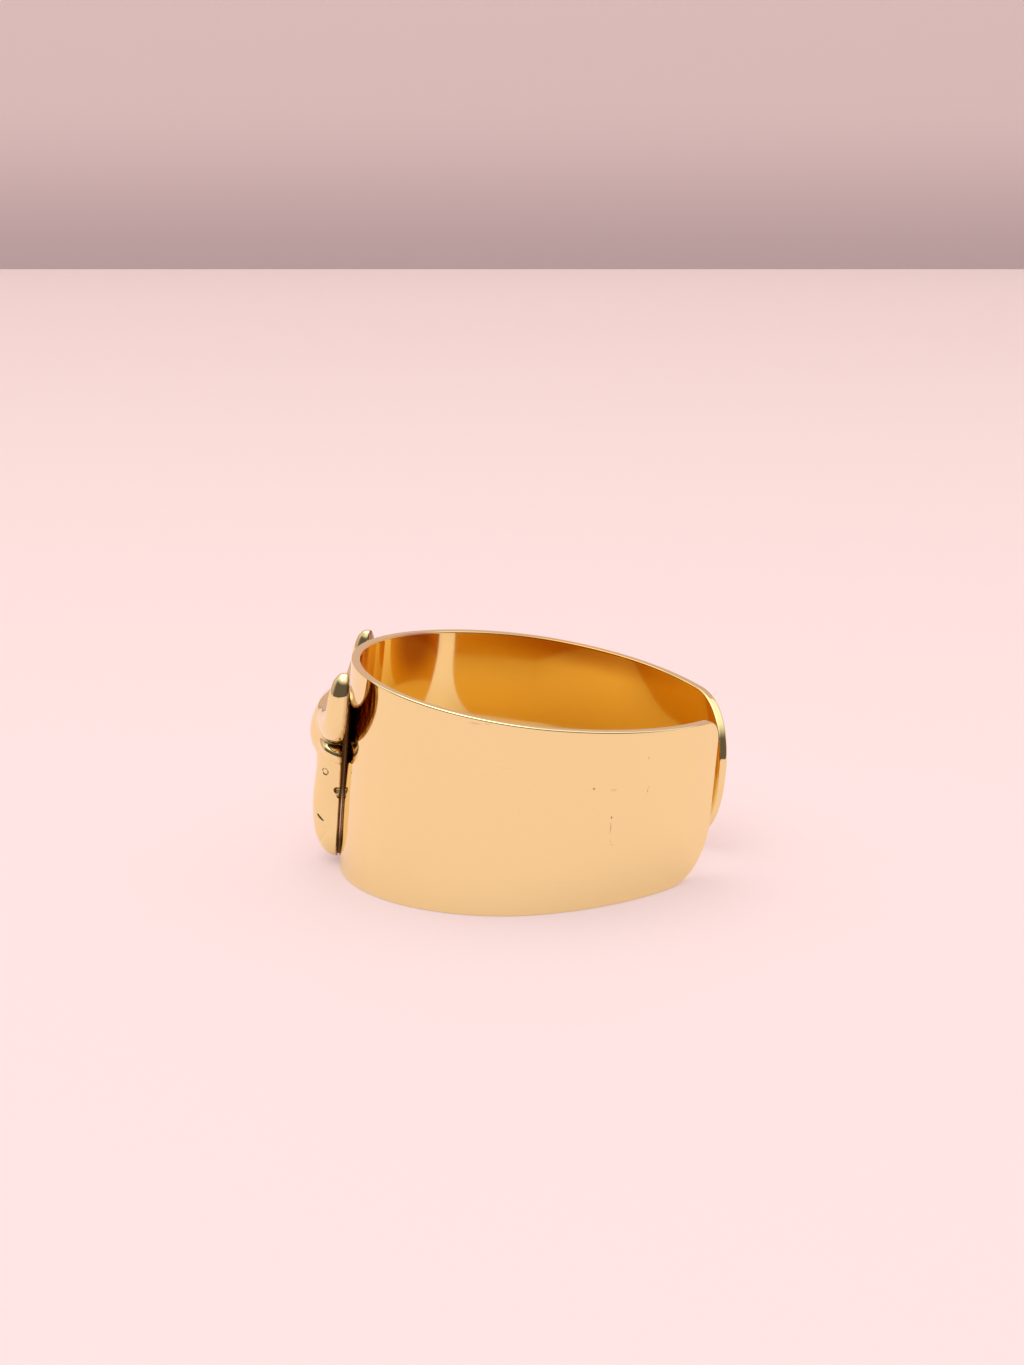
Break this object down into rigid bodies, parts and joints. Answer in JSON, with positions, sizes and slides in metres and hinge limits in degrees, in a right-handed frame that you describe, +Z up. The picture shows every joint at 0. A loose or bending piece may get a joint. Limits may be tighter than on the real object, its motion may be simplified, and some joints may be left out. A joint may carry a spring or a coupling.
{
  "type": "adjustable ring",
  "caption": "Broad polished open band, tapering to its sprung ends, with a cast horned head soldered to its front; a finger ring that adjusts by bending.",
  "frame": {"origin": "under the middle of the ring's box, on the surface that the ring lies on", "axes": "+Z up, through the open ends of the hoop as the ring lies on its side; -Y towards the horned head, +Y towards the gap; +X to the right of someone who faces the gap from the head's side"},
  "size_m": [0.0184, 0.0234, 0.0122],
  "materials": {
    "polished_gold": "mirror-polished gold plate over brass, with fine handling scratches"
  },
  "bodies": {
    "root": {"ring": "polished_gold"}
  },
  "joints": []
}
